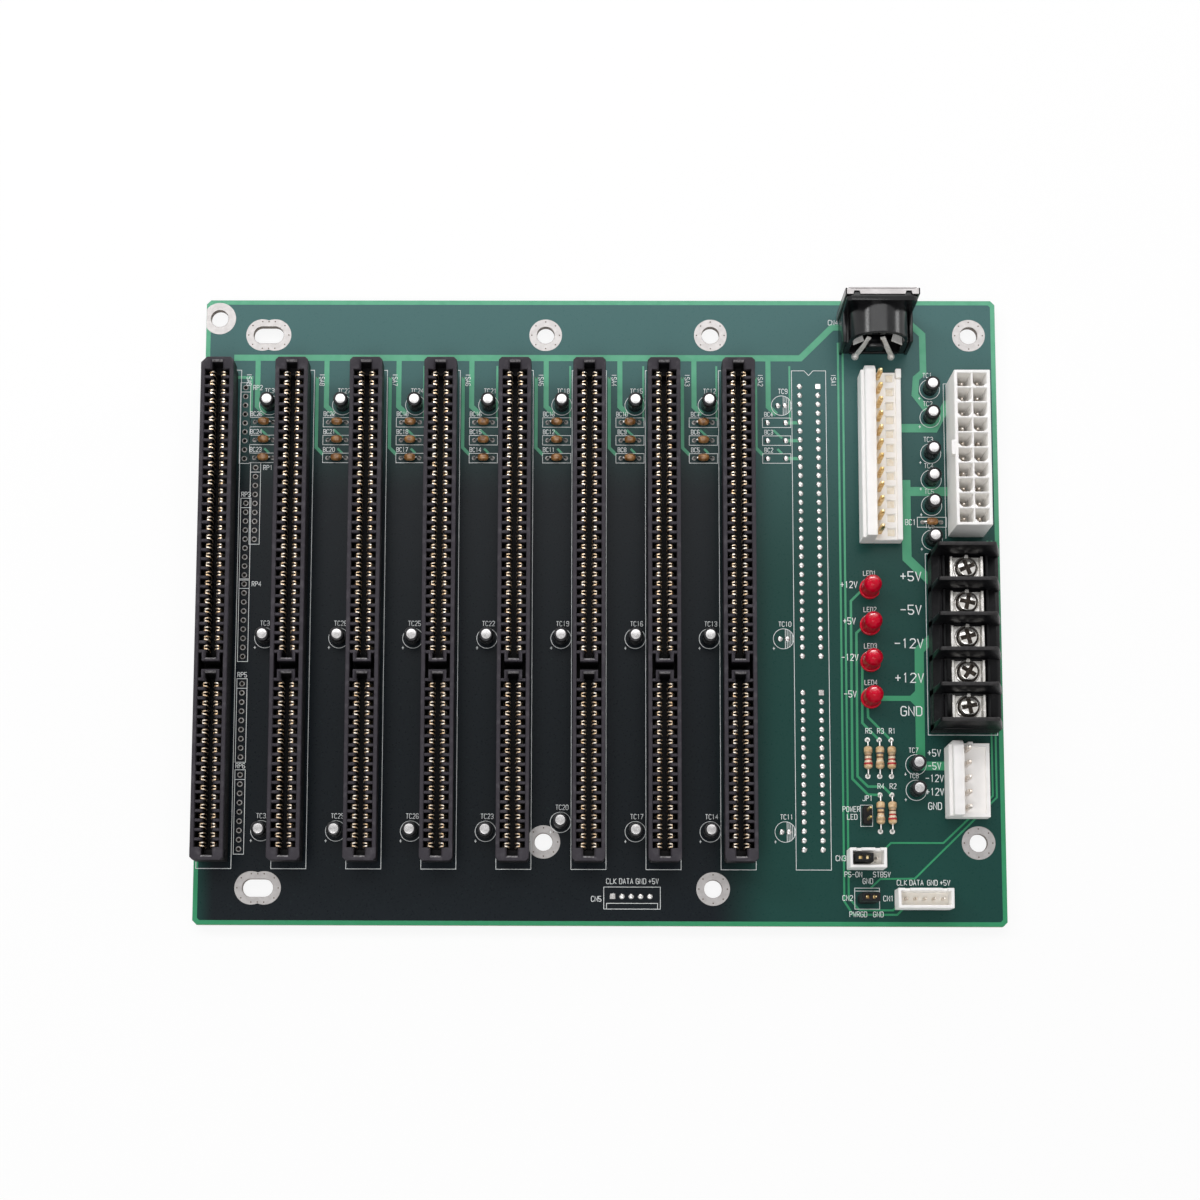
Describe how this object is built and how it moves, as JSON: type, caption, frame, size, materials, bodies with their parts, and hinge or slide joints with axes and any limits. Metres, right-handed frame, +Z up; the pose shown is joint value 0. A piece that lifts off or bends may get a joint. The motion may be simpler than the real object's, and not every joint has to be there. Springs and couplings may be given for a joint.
{
  "type": "isa bus backplane",
  "caption": "Passive bus backplane: a flat circuit board with a bank of long keyed card slots, supply headers, a screw terminal block, a round keyboard socket and indicator lamps.",
  "frame": {"origin": "middle of the board's outline, level with the tips of the solder joints that it rests on", "axes": "+X across the slots towards the terminal block, +Y along the slots towards the edge with the keyboard socket, +Z up from the component side"},
  "size_m": [0.22, 0.175, 0.0232],
  "materials": {
    "solder_mask_green": "green solder mask over glass-fibre laminate, satin gloss",
    "slot_plastic": "moulded charcoal thermoplastic, fine grain",
    "contact_gold": "gold-plated spring and pin stock, bright",
    "socket_plastic": "moulded black thermoplastic, satin",
    "tinned_steel": "tinned sheet steel, bright",
    "white_nylon": "natural white nylon",
    "terminal_plastic": "black thermoset, slightly rough",
    "nickel_plate": "nickel-plated steel, bright",
    "black_strip_plastic": "black moulded header strip and caps",
    "red_lens": "diffused red epoxy lens, glossy",
    "resistor_lacquer": "tan lacquer with painted bands",
    "can_sleeve": "black shrink sleeve over an aluminium can",
    "bead_ceramic": "brown lacquered ceramic bead",
    "solder": "bright tin-lead solder"
  },
  "bodies": {
    "root": {"circuit_board": "solder_mask_green", "isa_slot_1": "slot_plastic", "isa_slot_2": "slot_plastic", "isa_slot_3": "slot_plastic", "isa_slot_4": "slot_plastic", "isa_slot_5": "slot_plastic", "isa_slot_6": "slot_plastic", "isa_slot_7": "slot_plastic", "isa_slot_8": "slot_plastic", "slot_contacts_1": "contact_gold", "slot_contacts_2": "contact_gold", "slot_contacts_3": "contact_gold", "slot_contacts_4": "contact_gold", "slot_contacts_5": "contact_gold", "slot_contacts_6": "contact_gold", "slot_contacts_7": "contact_gold", "slot_contacts_8": "contact_gold", "at_power_pins": "contact_gold", "atx_power_pins": "contact_gold", "aux_power_pins": "contact_gold", "keyboard_pins": "contact_gold", "switch_pins": "contact_gold", "signal_pins": "contact_gold", "lamp_pins": "contact_gold", "keyboard_socket_body": "socket_plastic", "keyboard_socket_shield": "tinned_steel", "keyboard_socket_lugs": "tinned_steel", "at_power_header": "white_nylon", "aux_power_header": "white_nylon", "atx_power_header": "white_nylon", "keyboard_header": "white_nylon", "switch_header": "white_nylon", "terminal_block_body": "terminal_plastic", "terminal_clamp_plates": "nickel_plate", "terminal_screws": "nickel_plate", "signal_header": "black_strip_plastic", "lamp_header": "black_strip_plastic", "signal_jumper_cap": "black_strip_plastic", "switch_jumper_cap": "black_strip_plastic", "indicator_led_1": "red_lens", "indicator_led_2": "red_lens", "indicator_led_3": "red_lens", "indicator_led_4": "red_lens", "resistor_1": "resistor_lacquer", "resistor_2": "resistor_lacquer", "resistor_3": "resistor_lacquer", "resistor_4": "resistor_lacquer", "resistor_5": "resistor_lacquer", "bus_capacitors_upper": "can_sleeve", "bus_capacitors_middle": "can_sleeve", "bus_capacitors_lower": "can_sleeve", "supply_capacitors": "can_sleeve", "bypass_capacitors": "bead_ceramic", "connector_solder_joints": "solder", "capacitor_solder_joints": "solder"}
  },
  "joints": []
}
